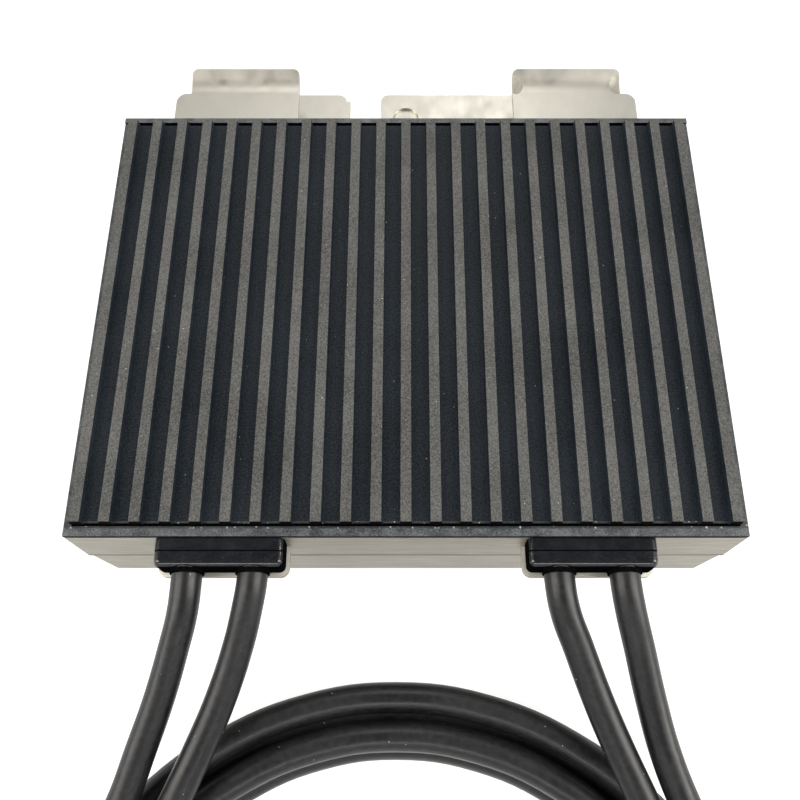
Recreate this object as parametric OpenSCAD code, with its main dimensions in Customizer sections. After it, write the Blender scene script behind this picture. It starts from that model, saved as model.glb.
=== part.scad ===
// Power optimizer for a solar module: a shallow metal case under a finned
// heat sink, two folded clips for the module's frame and four cable leads.
// The origin is the middle of the case's flat bottom. The leads leave
// towards -Y, the clips stand on the +Y side.

/* [Case] */
// Width of the case across the fins
case_w = 129; // [118:0.5:150]
// Depth of the case along the fins
case_d = 98; // [92:0.5:120]
// Height of the lower tray
tray_h = 15.8; // [15:0.1:20]
// Height of the frame between tray and heat sink
frame_h = 14.3; // [13.5:0.1:18]
// Thickness of the upright walls and of the tray's floor
wall = 2.2; // [1.8:0.1:2.6]
// Thickness of each flat gasket
gasket_t = 0.4; // [0.3:0.05:0.6]
// How far each gasket stays back from the frame's outer face
gasket_inset = 0.3; // [0.2:0.05:0.6]
// How far the tray's rim stands in from the frame's outer face
rim_inset = 0.25; // [0.1:0.05:0.6]
// How far the tray's walls lean in on their way down
tray_lean = 0.65; // [0.2:0.05:1.2]

/* [Heat sink] */
// Thickness of the rim that shows round the fins
rim_t = 1; // [0.8:0.1:1.6]
// Height of the groove floors above the rim
floor_rise = 0.7; // [0.4:0.1:1.5]
// Height of the fins above the groove floors
fin_h = 2; // [1:0.1:4]
// Distance from fin to fin
fin_pitch = 5.62; // [4.5:0.01:8]
// Width of a fin at its top
fin_top_w = 2.05; // [1.6:0.05:2.6]
// Width of a fin at its root
fin_root_w = 2.4; // [2:0.05:3.2]
// Least width of the rim left and right of the fins
side_rim = 1.6; // [1:0.05:3]
// Width of the ledge in front of the fins
front_ledge = 1.9; // [1:0.1:3]
// Width of the narrow channel between front ledge and fins
channel_w = 0.4; // [0.3:0.05:1]
// How far the fins' front ends reach out over the channel
fin_overhang = 0.2; // [0:0.05:0.4]
// Width of the ledge behind the fins
rear_ledge = 1.3; // [1:0.1:3]
// Width of the slot between fins and rear ledge
slot_w = 1.1; // [0.3:0.05:2]
// Rise of the rear ledge above the rim
ledge_rise = 0.4; // [0.1:0.05:0.6]
// Depth of channel and slot below the rim
channel_depth = 0.6; // [0.3:0.05:0.7]
// Depth of the locating step under the heat sink
step_t = 1.2; // [0.8:0.1:2]

/* [Cable glands] */
// Outer diameter of a cable
cable_d = 5.9; // [5:0.1:6.2]
// Distance between the two cables of one gland
cable_pitch = 12.4; // [11:0.1:13.5]
// Distance of a gland's middle from the middle of the case
gland_x = 35.25; // [32:0.25:40]
// Width of a gland
gland_w = 24.3; // [22.5:0.1:28]
// Height of a gland
gland_h = 7; // [6.9:0.1:9]
// How far a gland stands out from the case
gland_reach = 5.4; // [4:0.1:8]
// Radius along the upper edges of a gland's sides
gland_side_r = 1.4; // [0.5:0.1:2.5]
// Distance of the shallow step on a gland's top from the case
gland_step_y = 2.3; // [1:0.1:2.5]
// Height of the shallow step on a gland's top
gland_step_h = 0.25; // [0.1:0.05:0.5]
// Radius of a gland's upright corners
gland_r = 1.2; // [0.8:0.1:3]
// Radius along a gland's front edges
gland_edge_r = 1; // [0.5:0.1:2]
// Thickness of the collar round a cable
collar_t = 0.3; // [0.2:0.05:0.6]
// Length of the collar round a cable
collar_reach = 0.95; // [0.8:0.05:3]
// Thickness of the tongue under a gland
tongue_t = 1.2; // [0.8:0.1:2]
// How far a tongue shows in front of its gland
tongue_margin = 0.6; // [0.4:0.05:2]
// How far a tongue shows beside its gland's foot
tongue_side = 0.5; // [0.2:0.05:1.5]

/* [Frame clips] */
// Thickness of the clips' sheet metal
sheet_t = 1.5; // [1:0.1:2]
// Gap between a clip's jaws
jaw_gap = 7; // [6:0.1:9]
// Height of the clips' lower face above the rest plane
clip_z = 16.2; // [16:0.1:20]
// Outer radius of the clips' folds
fold_r = 2.5; // [2.2:0.1:3]
// Distance from the middle to a clip's outer side
clip_outer_x = 55.3; // [53:0.1:57]
// Distance from the middle to a clip's inner side
clip_inner_x = 25.8; // [24:0.1:28]
// Reach of the upper jaw behind the case
upper_reach = 12.75; // [10:0.05:16]
// Further reach of the raised lip
lip_reach = 6.05; // [4:0.05:9]
// Angle at which the lip rises
lip_angle = 24; // [12:0.5:30]
// Radius of the bend at the foot of the lip
lip_bend_r = 10; // [3:0.5:12]
// Radius of the lip's corners
lip_r = 1.5; // [0.8:0.1:3]
// How far the lip stays back from the clip's outer side
lip_step = 3.4; // [2.5:0.1:6]
// Reach of the lower jaw behind the case
lower_reach = 19.9; // [17:0.1:26]
// Inner end of the left clip's lower jaw
left_jaw_x = 15; // [12:0.5:22]
// How far the right clip's lower jaw runs past the middle
right_jaw_x = 6.3; // [4.5:0.1:10]
// Diameter of the round dimple in the right clip's lower jaw
dimple_d = 6.3; // [4:0.1:8]
// Distance of the dimple behind the case
dimple_y = 12.6; // [8:0.1:15]
// Diameter of the pressed dents in the right clip's lip
dent_d = 3.4; // [2:0.1:6]
// Depth of the pressed dents
dent_h = 0.25; // [0.15:0.05:0.8]
// Distance of the pressed dents from the foot of the lip
dent_y = 2.4; // [1:0.1:4]
// Diameter of the rivets' shanks
rivet_d = 3.2; // [2.4:0.1:4]

/* [Inside] */
// Width of the circuit board
board_w = 104; // [102:0.5:106]
// Depth of the circuit board
board_d = 84; // [82:0.5:86]
// Thickness of the circuit board
board_t = 1.6; // [1.2:0.1:2]
// Height of the posts under the circuit board
board_post_h = 7; // [5:0.1:8]
// Diameter of the case screws' shanks
screw_d = 3; // [2.5:0.1:3.4]
// Diameter of the case screws' heads
screw_head_d = 5.6; // [5:0.1:6]
// Height of the case screws' heads
screw_head_h = 2.4; // [1.6:0.1:3]
// Diameter of the posts round the case screws
post_d = 7.4; // [7:0.1:8.4]
// Outer diameter of the inductor's core
core_d = 27; // [24:0.5:29]
// Inner diameter of the inductor's core
core_bore = 15; // [13.5:0.5:17]
// Height of the inductor's core
core_h = 10; // [7:0.5:12]
// Thickness of the inductor's wire
wire_d = 1.6; // [1:0.1:1.8]
// Number of turns on the inductor
wire_turns = 14; // [8:1:15]
// Diameter of the capacitors
cap_d = 12.5; // [10:0.5:13]
// Height of the capacitors
cap_h = 15; // [10:0.5:16]
// Height of the switch transistors
switch_h = 4.5; // [3:0.1:6]
// Thickness of the thermal pad
pad_t = 0.8; // [0.5:0.1:1.5]

/* [Connectors] */
// Diameter of the connectors' cap nuts
nut_d = 18; // [17:0.1:18]
// Length of the connectors' cap nuts
nut_l = 18; // [15:0.5:24]
// Length of the tapered end of the cap nuts
nut_taper_l = 4; // [2:0.5:6]
// Diameter of the cap nuts where the cable enters
nut_end_d = 12; // [10:0.1:14]
// Height of the grip ribs on the cap nuts
rib_t = 0.6; // [0.3:0.05:1]
// Diameter of the connectors' housings
shell_d = 16.4; // [15.8:0.1:17]
// Length of the connectors' closed middle part
shell_l = 22; // [18:0.5:28]
// Length of the connectors' mating ends
mate_l = 18; // [14:0.5:22]
// Diameter of a plug half's nose
nose_d = 11.6; // [10.5:0.1:12]
// Thickness of the sealing ring on a plug half's nose
ring_t = 0.8; // [0.5:0.05:1]
// Height of the barbs on the latches
barb_t = 0.6; // [0.3:0.05:0.7]
// Diameter of a contact pin
pin_d = 4; // [3.5:0.1:4.4]
// Play between the parts of the connectors
play = 0.2; // [0.1:0.05:0.3]

/* [Hidden] */
$fn = 48;

// Levels of the stacked case
frame_z0 = tray_h + gasket_t;
frame_z1 = frame_z0 + frame_h;
rim_z0 = frame_z1 + gasket_t;
rim_z1 = rim_z0 + rim_t;
groove_z = rim_z1 + floor_rise;
fin_z = groove_z + fin_h;
step_z = rim_z0 - step_t;

front_y = -case_d / 2;
rear_y = case_d / 2;

// Fins: as many as fit, set in the middle
fin_count = floor((case_w - 2 * side_rim - fin_top_w) / fin_pitch + 0.01) + 1;
fin_x0 = -(fin_count - 1) * fin_pitch / 2;
floor_half_w = fin_root_w / 2 - fin_x0;
fin_sink = 0.2;

// Glands and the cables in them
gland_z1 = rim_z0;
gland_z0 = gland_z1 - gland_h;
cable_z = (gland_z0 + gland_z1) / 2;
neck_w = cable_pitch + cable_d + 2.2;
flange_t = 2;
collar_y = front_y - gland_reach - collar_reach;
cable_xs = [-gland_x - cable_pitch / 2, -gland_x + cable_pitch / 2,
    gland_x - cable_pitch / 2, gland_x + cable_pitch / 2];
tongue_r = gland_r + tongue_margin;

// Screw posts in the corners
post_gap = 0.6;
post_x = case_w / 2 - wall - post_d / 2 - post_gap;
post_y = case_d / 2 - wall - post_d / 2 - post_gap;
lug_h = 3.8;
boss_z = frame_z0 + lug_h;
screw_hole_d = screw_d + 0.4;
head_z = screw_head_h + 0.6;
thread_l = 7;

// Circuit board and what stands on it
board_z0 = wall + board_post_h;
board_z1 = board_z0 + board_t;
board_screw_inset = 4.5;
board_post_d = 6.5;
board_screw_d = 2.5;
switch_size = 10;
switch_pitch = 12;
switch_count = 4;
switch_y = 16;
pad_w = (switch_count - 1) * switch_pitch + switch_size;
pad_z1 = board_z1 + switch_h + pad_t;
inductor_y = -16;
cap_x = 38;
cap_ys = [-12, 4];
elbow_r = 8;
lead_run = 9.5;
lead_turn_y = front_y + lead_run;
terminal_size = 7;
terminal_h = 5;
core_wire_d = 2.6;

// Clips
clip_h = jaw_gap + 2 * sheet_t;
upper_z = clip_z + clip_h;
function lip_height(y) = let (bend_l = lip_bend_r * sin(lip_angle))
    y < bend_l ? lip_bend_r - sqrt(lip_bend_r * lip_bend_r - y * y)
        : lip_bend_r * (1 - cos(lip_angle)) + (y - bend_l) * tan(lip_angle);
lip_rise = lip_height(lip_reach);
rivet_xs = [clip_inner_x + 8, clip_outer_x - 8];
rivet_z = clip_z + clip_h / 2;
rivet_head_d = min(rivet_d * 1.8, clip_h - 2 * fold_r - 0.2);
rivet_head_h = 1;

// The coil of output cable lies in front of the case, on a flat tie
tie_t = 0.9;
tie_gap = 0.05;
coil_at = [-2, -145];
coil_in = 57.5;
coil_out = 72;
coil_z0 = tie_t;
coil_z1 = 12.75;
top_lay_in = 58.9;
top_lay_out = 71.6;
top_lay_z1 = 18.7;
side_lay_out = 78.3;
side_lay_z1 = 6.85;

// Routes of the cables, after the straight start out of the collars
input_1 = [[-42, -62, 26], [-43.5, -68, 23.8], [-46, -77, 21], [-49, -86, 18.8], [-52, -95, 17],
    [-58, -108, 16], [-64, -122, 16], [-68.5, -135, 16], [-70.5, -147, 16], [-71.5, -160, 16],
    [-72.2, -172, 15], [-72.8, -185, 12], [-73, -198, 9.8], [-73, -211, 9], [-73, -236, 9],
    [-73, -246, 9]];
input_2 = [[-30, -62, 26], [-31.5, -68, 23.8], [-34.5, -77, 21], [-38.3, -86, 18.8], [-42.5, -95, 17],
    [-48.5, -108, 16], [-55, -122, 16], [-60, -135, 16], [-62, -147, 16], [-61.5, -160, 16],
    [-59.5, -173, 16], [-57, -186, 16], [-54, -199, 15.5], [-51.5, -211, 12.5], [-50, -224, 9.6],
    [-50, -236, 9], [-50, -246, 9]];
output_1 = [[30, -62, 26], [32.3, -68, 23.8], [35.7, -77, 21], [39.5, -86, 18.8], [43.6, -95, 17],
    [49, -108, 16], [55, -122, 16], [59, -135, 15.8], [60, -141, 15.75], [60, -145, 15.75]];
output_2 = [[42.3, -62, 26], [43.7, -68, 23.8], [45.6, -77, 21], [47.8, -86, 18.8], [51, -95, 17],
    [56.5, -108, 16], [62.2, -122, 16], [65.8, -135, 15.8], [66.5, -141, 15.75], [66.5, -145, 15.75]];
tail_1 = [[27.5, -217, 5.5], [22.4, -226, 8], [20.5, -236, 9], [20.5, -246, 9]];
tail_2 = [[65, -183, 4.2], [62.8, -196, 5.5], [60.5, -209, 7.4], [59.5, -222, 8.8],
    [59.5, -236, 9], [59.5, -246, 9]];
tail_1_angle = -60;
tail_2_angle = -20;

// Connectors lie in front of the coil and point towards -Y
plug_z = nut_d / 2;
nut_y = -238;
shell_y = nut_y - nut_l;
mate_y = shell_y - shell_l;
input_socket_x = -73;
input_plug_x = -50;
output_socket_x = 20.5;
output_plug_x = 59.5;
cable_hole_d = cable_d + 2 * play;
cable_depth = 8;
seal_l = 5;
seal_d = 11;
crimp_d = 6.4;
latch_w = 5;
latch_t = 1.8;
sleeve_wall = 0.8;
rib_count = 12;
rib_w = 1.6;
rib_end = 2;
ring_l = 2;
ring_y = 9;
latch_l = mate_l * 0.6;
barb_l = 4;
shoulder_l = 3;

// Small amount by which a cut runs past a face
past = 1;

cover_black = "#3c3d3d";
gasket_grey = "#202020";
silver = "#c6c2ba";
rubber_black = "#17181a";
steel = "#cfccc6";
cable_black = "#2c2c2e";
brass = "#b8964a";
tin = "#d0d0cc";

function unit(v) = v / norm(v);
function along(p, i) = unit(p[min(i + 1, len(p) - 1)] - p[max(i - 1, 0)]);
function ring_at(p, i, r, n) =
    let (t = along(p, i), s = unit(cross(t, [0, 0, 1])), u = cross(s, t))
    [for (k = [0 : n - 1]) p[i] + r * (cos(360 * k / n) * s + sin(360 * k / n) * u)];
function arc(cx, cy, r, a0, a1, steps = 6) =
    [for (i = [0 : steps]) let (a = a0 + (a1 - a0) * i / steps) [cx + r * cos(a), cy + r * sin(a)]];
function from_collar(x, route) =
    concat([[x, collar_y, cable_z], [x, collar_y - 3, cable_z]], route);

function off_coil(a, d) = let (r = (coil_out + side_lay_out) / 2)
    [coil_at[0] + r * cos(a) + d * sin(a), coil_at[1] + r * sin(a) - d * cos(a), (coil_z0 + side_lay_z1) / 2];
function from_coil(a, route) = concat([off_coil(a, 0), off_coil(a, 2)], route);

// A cable: a tube through the points of its route
module tube(route, d, sides = 10) {
    rings = len(route);
    points = [for (i = [0 : rings - 1]) each ring_at(route, i, d / 2, sides)];
    walls = [for (i = [0 : rings - 2], k = [0 : sides - 1])
        [i * sides + k, i * sides + (k + 1) % sides,
            (i + 1) * sides + (k + 1) % sides, (i + 1) * sides + k]];
    ends = [[for (k = [0 : sides - 1]) sides - 1 - k],
        [for (k = [0 : sides - 1]) (rings - 1) * sides + k]];
    polyhedron(points, concat(walls, ends));
}

// A box that is centred in X and Y and stands on its lower face
module slab(w, d, h) {
    translate([-w / 2, -d / 2, 0]) cube([w, d, h]);
}

// A profile given as [distance behind the case, height], drawn along X
module behind_case(x0, x1) {
    translate([x0, rear_y, 0])
        rotate([90, 0, 90])
            linear_extrude(x1 - x0) children();
}

// A cylinder along -Y that starts at a given place
module forward(x, y, z, d, l) {
    translate([x, y, z]) rotate([90, 0, 0]) cylinder(d = d, h = l);
}

module at_posts() {
    for (x = [-post_x, post_x], y = [-post_y, post_y]) translate([x, y, 0]) children();
}

module at_board_screws() {
    for (x = [-1, 1], y = [-1, 1])
        translate([x * (board_w / 2 - board_screw_inset), y * (board_d / 2 - board_screw_inset), 0])
            children();
}

// A flat ring that follows the case's walls
module wall_ring(z, h, inset_out, inset_in) {
    translate([0, 0, z]) difference() {
        slab(case_w - 2 * inset_out, case_d - 2 * inset_out, h);
        translate([0, 0, -past]) slab(case_w - 2 * inset_in, case_d - 2 * inset_in, h + 2 * past);
    }
}

// The raised floor and the fins that stand in it, tapered towards their tops
module fin_block() {
    floor_l = case_d - front_ledge - channel_w - slot_w - rear_ledge;
    floor_y = front_y + front_ledge + channel_w;
    root_half = fin_root_w / 2 + fin_sink * (fin_root_w - fin_top_w) / (2 * fin_h);
    top_half = fin_top_w / 2;
    translate([-floor_half_w, floor_y, rim_z1 - rim_t / 2])
        cube([2 * floor_half_w, floor_l, groove_z - rim_z1 + rim_t / 2]);
    for (i = [0 : fin_count - 1])
        translate([fin_x0 + i * fin_pitch, floor_y + floor_l, 0]) rotate([90, 0, 0])
            linear_extrude(floor_l + fin_overhang)
                polygon([[-root_half, groove_z - fin_sink], [-top_half, fin_z], [top_half, fin_z],
                    [root_half, groove_z - fin_sink]]);
}

// A narrow channel across the rim at one end of the fins
module rim_channel(y, w) {
    translate([-floor_half_w, y, rim_z1 - channel_depth])
        cube([2 * floor_half_w, w, channel_depth + ledge_rise / 2]);
}

// The heat sink: rim, ledges, raised floor with fins, and what hangs below
module heat_sink_cover() {
    step_inset = wall + 0.2;
    step_front = lead_run + elbow_r + cable_d / 2 + 0.4;
    color(cover_black) difference() {
        union() {
            translate([0, 0, rim_z0]) slab(case_w, case_d, rim_t);
            translate([-case_w / 2, rear_y - rear_ledge, rim_z0])
                cube([case_w, rear_ledge, rim_t + ledge_rise]);
            fin_block();
            translate([-case_w / 2 + step_inset, front_y + step_front, step_z])
                cube([case_w - 2 * step_inset, case_d - step_inset - step_front, step_t + rim_t / 2]);
            translate([0, switch_y, pad_z1])
                slab(pad_w, switch_size, step_z - pad_z1 + step_t / 2);
            at_posts() translate([0, 0, boss_z]) cylinder(d = post_d, h = rim_z0 + rim_t / 2 - boss_z);
        }
        at_posts() translate([0, 0, boss_z - past]) cylinder(d = screw_d, h = thread_l + past);
        rim_channel(front_y + front_ledge, channel_w);
        rim_channel(rear_y - rear_ledge - slot_w, slot_w);
    }
}

module cover_gasket() {
    color(gasket_grey) wall_ring(frame_z1, gasket_t, gasket_inset, wall);
}

module tray_gasket() {
    color(gasket_grey) wall_ring(tray_h, gasket_t, gasket_inset + rim_inset, wall);
}

// One tongue under a gland, with round front corners
module tongue(x) {
    w = gland_w + 2 * tongue_side;
    reach = gland_reach + tongue_margin;
    translate([x, front_y, gland_z0 - tongue_t]) {
        translate([-w / 2, -reach + tongue_r, 0]) cube([w, reach - tongue_r + wall / 2, tongue_t]);
        translate([-w / 2 + tongue_r, -reach, 0]) cube([w - 2 * tongue_r, reach, tongue_t]);
        for (s = [-1, 1])
            translate([s * (w / 2 - tongue_r), -reach + tongue_r, 0]) cylinder(r = tongue_r, h = tongue_t);
    }
}

module housing_frame() {
    lug = post_d + 2 * post_gap;
    color(silver) difference() {
        union() {
            wall_ring(frame_z0, frame_h, 0, wall);
            for (s = [-1, 1]) tongue(s * gland_x);
            at_posts() translate([0, 0, frame_z0]) slab(lug, lug, lug_h);
        }
        for (s = [-1, 1])
            translate([s * gland_x - neck_w / 2, front_y - past, gland_z0])
                cube([neck_w, wall + 2 * past, gland_h]);
        at_posts() translate([0, 0, frame_z0 - past]) cylinder(d = screw_hole_d, h = lug_h + 2 * past);
        for (s = [-1, 1], x = rivet_xs) forward(s * x, rear_y + past, rivet_z, rivet_d, wall + 2 * past);
    }
}

// A block whose four walls lean in on their way down, cut from two prisms
module leaning_block(inset, z0) {
    rim_w = case_w / 2 - rim_inset - inset;
    rim_d = case_d / 2 - rim_inset - inset;
    lean = tray_lean * (tray_h - z0) / tray_h;
    intersection() {
        translate([0, case_d, 0]) rotate([90, 0, 0]) linear_extrude(2 * case_d)
            polygon([[-rim_w + lean, z0], [rim_w - lean, z0], [rim_w, tray_h], [-rim_w, tray_h]]);
        translate([-case_w, 0, 0]) rotate([90, 0, 90]) linear_extrude(2 * case_w)
            polygon([[-rim_d + lean, z0], [rim_d - lean, z0], [rim_d, tray_h], [-rim_d, tray_h]]);
    }
}

module base_tray() {
    tray_wall = wall - rim_inset;
    color(silver) difference() {
        union() {
            difference() {
                leaning_block(0, 0);
                leaning_block(tray_wall, wall);
            }
            intersection() {
                leaning_block(tray_wall / 2, 0);
                at_posts() translate([0, 0, wall / 2]) cylinder(d = post_d, h = tray_h - wall / 2);
            }
            at_board_screws() translate([0, 0, wall / 2]) cylinder(d = board_post_d, h = board_z0 - wall / 2);
        }
        at_posts() {
            translate([0, 0, -past]) cylinder(d = screw_hole_d, h = tray_h + 2 * past);
            translate([0, 0, -past]) cylinder(d = screw_head_d + 0.4, h = head_z + past);
        }
        at_board_screws() translate([0, 0, wall + past]) cylinder(d = board_screw_d, h = board_post_h);
    }
}

// A cable gland: outer block with collars, neck in the wall, inner flange
module gland(x) {
    color(rubber_black) difference() {
        union() {
            intersection() {
                union() {
                    translate([x - gland_w / 2, front_y - gland_reach + gland_r, gland_z0])
                        cube([gland_w, gland_reach - gland_r, gland_h]);
                    translate([x - gland_w / 2 + gland_r, front_y - gland_reach, gland_z0])
                        cube([gland_w - 2 * gland_r, gland_reach, gland_h]);
                    for (s = [-1, 1])
                        translate([x + s * (gland_w / 2 - gland_r), front_y - gland_reach + gland_r,
                            gland_z0])
                            cylinder(r = gland_r, h = gland_h);
                }
                gland_side(x);
                gland_front(x);
            }
            translate([x - neck_w / 2, front_y - past / 2, gland_z0])
                cube([neck_w, wall + past, frame_z1 - gland_z0]);
            translate([x - gland_w / 2, front_y + wall, gland_z0])
                cube([gland_w, flange_t, frame_z1 - gland_z0]);
            for (s = [-1, 1])
                forward(x + s * cable_pitch / 2, front_y - gland_reach + past, cable_z,
                    cable_d + 2 * collar_t, collar_reach + past);
        }
        for (s = [-1, 1])
            forward(x + s * cable_pitch / 2, front_y + wall + flange_t + past, cable_z, cable_d,
                wall + flange_t + gland_reach + collar_reach + 2 * past);
    }
}

// A gland's outline seen from the side: round front edges and a shallow step on top
module gland_side(x) {
    r = gland_edge_r;
    step_y = gland_reach - gland_step_y;
    step_z = gland_z1 - gland_step_h;
    translate([x - gland_w, front_y - gland_reach, 0]) rotate([90, 0, 90]) linear_extrude(2 * gland_w)
        polygon(concat([[gland_reach, gland_z0]], arc(r, gland_z0 + r, r, 270, 180),
            arc(r, step_z - r, r, 180, 90),
            [[step_y, step_z], [step_y, gland_z1], [gland_reach, gland_z1]]));
}

// A gland's outline seen from the front: sides with round upper edges
module gland_front(x) {
    r = gland_side_r;
    half_w = gland_w / 2;
    translate([x, front_y + past, 0]) rotate([90, 0, 0]) linear_extrude(gland_reach + 2 * past)
        polygon(concat([[-half_w, gland_z0], [half_w, gland_z0]],
            arc(half_w - r, gland_z1 - r, r, 0, 90), arc(r - half_w, gland_z1 - r, r, 90, 180)));
}

module gland_left() { gland(-gland_x); }
module gland_right() { gland(gland_x); }

// The C-shaped section of a clip: lower jaw, web and upper jaw
function clip_outline() = concat(
    [[lower_reach, clip_z]], arc(fold_r, clip_z + fold_r, fold_r, 270, 180),
    arc(fold_r, upper_z - fold_r, fold_r, 180, 90),
    [[upper_reach, upper_z], [upper_reach, upper_z - sheet_t]],
    arc(fold_r, upper_z - fold_r, fold_r - sheet_t, 90, 180),
    arc(fold_r, clip_z + fold_r, fold_r - sheet_t, 180, 270), [[lower_reach, clip_z + sheet_t]]);

// The section of the raised lip, bent up from the upper jaw
function lip_outline() =
    let (end_y = upper_reach + lip_reach, end_z = upper_z + lip_rise, bend_z = upper_z + lip_bend_r)
    concat([[upper_reach - sheet_t, upper_z - sheet_t]],
        arc(upper_reach, bend_z, lip_bend_r + sheet_t, 270, 270 + lip_angle),
        [[end_y, end_z - sheet_t / cos(lip_angle)], [end_y, end_z]],
        arc(upper_reach, bend_z, lip_bend_r, 270 + lip_angle, 270),
        [[upper_reach - sheet_t, upper_z]]);

// What is cut off to round a sheet's corner: x and y point away from the middle
module corner_cut(x, y, sx, r, z, h) {
    translate([x - sx * r, rear_y + y - r, z]) difference() {
        translate([sx > 0 ? 0 : -r - past, 0, 0]) cube([r + past, r + past, h]);
        translate([0, 0, -past]) cylinder(r = r, h = h + 2 * past);
    }
}

// One clip on the side s, with its lower jaw running in to jaw_x
module clip(s, jaw_x) {
    x0 = min(s * clip_inner_x, s * clip_outer_x);
    lip_in = s * clip_inner_x;
    lip_out = s * (clip_outer_x - lip_step);
    wing_r = min(lip_step - 0.5, 2.5);
    jaw_r = 2;
    difference() {
        union() {
            behind_case(x0, x0 + clip_outer_x - clip_inner_x) polygon(clip_outline());
            behind_case(min(lip_in, lip_out), max(lip_in, lip_out)) polygon(lip_outline());
            translate([min(s * jaw_x, lip_in), rear_y + fold_r, clip_z])
                cube([abs(lip_in - s * jaw_x) + past, lower_reach - fold_r, sheet_t]);
        }
        corner_cut(s * clip_outer_x, upper_reach, s, wing_r, upper_z - 2 * sheet_t, 3 * sheet_t);
        for (c = [[lip_in, -s], [lip_out, s]])
            corner_cut(c[0], upper_reach + lip_reach, c[1], lip_r, upper_z - 2 * sheet_t,
                3 * sheet_t + lip_rise);
        for (c = [[s * jaw_x, -s], [s * clip_outer_x, s]])
            corner_cut(c[0], lower_reach, c[1], jaw_r, clip_z - past, sheet_t + 2 * past);
        for (x = rivet_xs) forward(s * x, rear_y + sheet_t + past, rivet_z, rivet_d, sheet_t + 2 * past);
    }
}

module clip_left() { color(steel) clip(-1, left_jaw_x); }

// Round dents pressed into the lip at both its sides
module lip_dents() {
    r = (dent_d * dent_d / 4 + dent_h * dent_h) / (2 * dent_h);
    slope = min(asin(min(1, dent_y / lip_bend_r)), lip_angle);
    for (x = [clip_inner_x + dent_d / 4, clip_outer_x - lip_step - dent_d / 4])
        translate([x, rear_y + upper_reach + dent_y, upper_z + lip_height(dent_y)])
            rotate([slope, 0, 0]) translate([0, 0, r - dent_h]) sphere(r);
}

module clip_right() {
    color(steel) difference() {
        clip(1, -right_jaw_x);
        translate([0, rear_y + dimple_y, clip_z + sheet_t / 2]) cylinder(d = dimple_d, h = sheet_t);
        lip_dents();
    }
}

module clip_rivets() {
    grip = wall + sheet_t;
    color(tin) for (s = [-1, 1], x = rivet_xs) {
        forward(s * x, rear_y + sheet_t, rivet_z, rivet_d, grip);
        forward(s * x, rear_y + sheet_t + rivet_head_h, rivet_z, rivet_head_d, rivet_head_h);
        forward(s * x, rear_y - wall, rivet_z, rivet_head_d, rivet_head_h);
    }
}

// Case screws enter from below and end in the heat sink's bosses
module case_screws() {
    color(tin) at_posts() translate([0, 0, head_z - screw_head_h]) difference() {
        union() {
            cylinder(d = screw_head_d, h = screw_head_h);
            cylinder(d = screw_d, h = boss_z + thread_l - past - head_z + screw_head_h);
        }
        translate([0, 0, -past]) cylinder(d = screw_d * 0.85, h = screw_head_h / 2 + past, $fn = 6);
    }
}

module circuit_board() {
    color("#2f6b3c") difference() {
        translate([0, 0, board_z0]) slab(board_w, board_d, board_t);
        at_board_screws() translate([0, 0, board_z0 - past])
            cylinder(d = board_screw_d + 0.3, h = board_t + 2 * past);
    }
}

module board_screws() {
    color(tin) at_board_screws() {
        translate([0, 0, board_z1]) cylinder(d = board_screw_d * 1.9, h = board_screw_d * 0.7);
        translate([0, 0, board_z1 - board_t - board_screw_d * 1.6])
            cylinder(d = board_screw_d, h = board_t + board_screw_d * 1.6);
    }
}

module inductor_core() {
    color("#55585c") translate([0, inductor_y, board_z1 + wire_d]) difference() {
        cylinder(d = core_d, h = core_h);
        translate([0, 0, -past]) cylinder(d = core_bore, h = core_h + 2 * past);
    }
}

module inductor_winding() {
    leg = (core_d - core_bore) / 2;
    color("#b5652b") translate([0, inductor_y, board_z1])
        for (i = [0 : wire_turns - 1]) rotate([0, 0, (i + 0.5) * 360 / wire_turns]) difference() {
            translate([core_bore / 2 - wire_d, -wire_d / 2, 0])
                cube([leg + 2 * wire_d, wire_d, core_h + 2 * wire_d]);
            intersection() {
                translate([0, 0, wire_d]) cylinder(d = core_d, h = core_h);
                translate([0, -wire_d, wire_d]) cube([core_d, 2 * wire_d, core_h]);
            }
            translate([0, 0, -past]) cylinder(d = core_bore - 2 * wire_d, h = core_h + 4 * wire_d);
        }
}

module capacitor(x, y) {
    translate([x, y, board_z1]) {
        cylinder(d = cap_d, h = cap_h);
        translate([0, 0, cap_h]) cylinder(d = cap_d - 2, h = 0.3);
    }
}

module input_capacitors() { color("#3a4250") for (y = cap_ys) capacitor(-cap_x, y); }
module output_capacitors() { color("#3a4250") for (y = cap_ys) capacitor(cap_x, y); }

module switch_transistors() {
    color("#26272a") for (i = [0 : switch_count - 1])
        translate([(i - (switch_count - 1) / 2) * switch_pitch, switch_y, board_z1])
            slab(switch_size, switch_size, switch_h);
}

module thermal_pad() {
    color("#8fa6b8") translate([0, switch_y, board_z1 + switch_h]) slab(pad_w, switch_size, pad_t);
}

module controller_chip() {
    color("#202124") translate([-14, 32, board_z1]) difference() {
        slab(9, 9, 1.4);
        translate([-3.2, 3.2, 1]) cylinder(d = 1.2, h = past);
    }
}

module comms_transformer() {
    color("#4a4238") translate([16, 32, board_z1]) {
        slab(12, 10, 2);
        slab(6, 10, 9);
        translate([0, 0, 7]) slab(12, 10, 2);
    }
}

// Brass terminals on the board, each over the place where a lead comes down
module lead_terminals() {
    color(brass) for (x = cable_xs) translate([x, lead_turn_y + elbow_r, board_z1]) difference() {
        slab(terminal_size, terminal_size, terminal_h);
        translate([0, 0, 1]) cylinder(d = core_wire_d, h = terminal_h);
    }
}

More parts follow.
